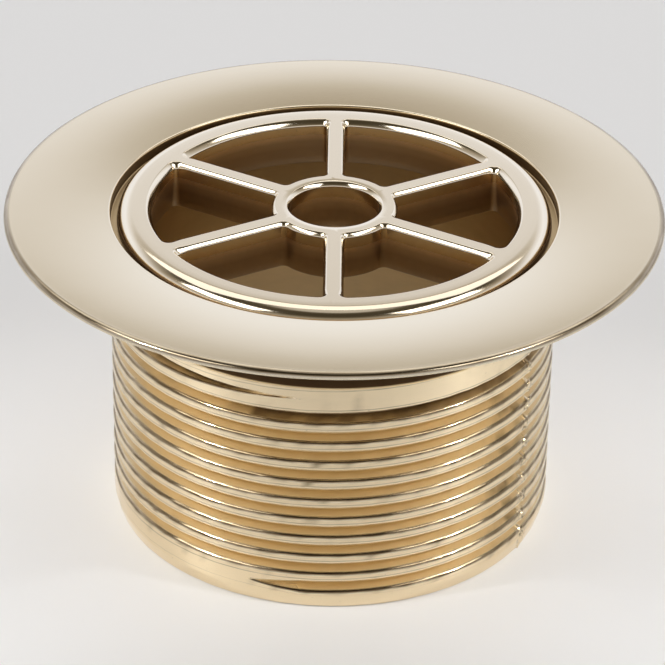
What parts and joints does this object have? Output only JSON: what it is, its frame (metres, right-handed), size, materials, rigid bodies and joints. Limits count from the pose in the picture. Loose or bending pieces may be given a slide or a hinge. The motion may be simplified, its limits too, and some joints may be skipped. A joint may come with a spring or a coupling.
{
  "type": "shower waste",
  "caption": "Flanged shower waste with a threaded tail and a round lift-out grid that pushes into the flange, plated pale gold.",
  "frame": {"origin": "centre of the tail's open end, on which the waste stands", "axes": "+Z along the waste's axis, from the tail's end to the flange; +Y points away from the viewer of the picture and +X to the right"},
  "size_m": [0.07, 0.07, 0.0357],
  "materials": {
    "body_plating": "polished pale-gold plating",
    "grid_plating": "polished pale-gold plating",
    "seal_rubber": "matt black rubber"
  },
  "bodies": {
    "waste": {"body": "body_plating"},
    "carrier": {"seal": "seal_rubber"},
    "insert": {"grid": "grid_plating"}
  },
  "joints": [
    {"name": "grid_lift", "type": "slide", "parent": "waste", "child": "carrier", "axis": [0, 0, 1], "range_m": [0, 0.025]},
    {"name": "grid_turn", "type": "hinge", "parent": "carrier", "child": "insert", "pos_m": [0, 0, 0.033], "axis": [0, 0, 1], "continuous": true}
  ]
}
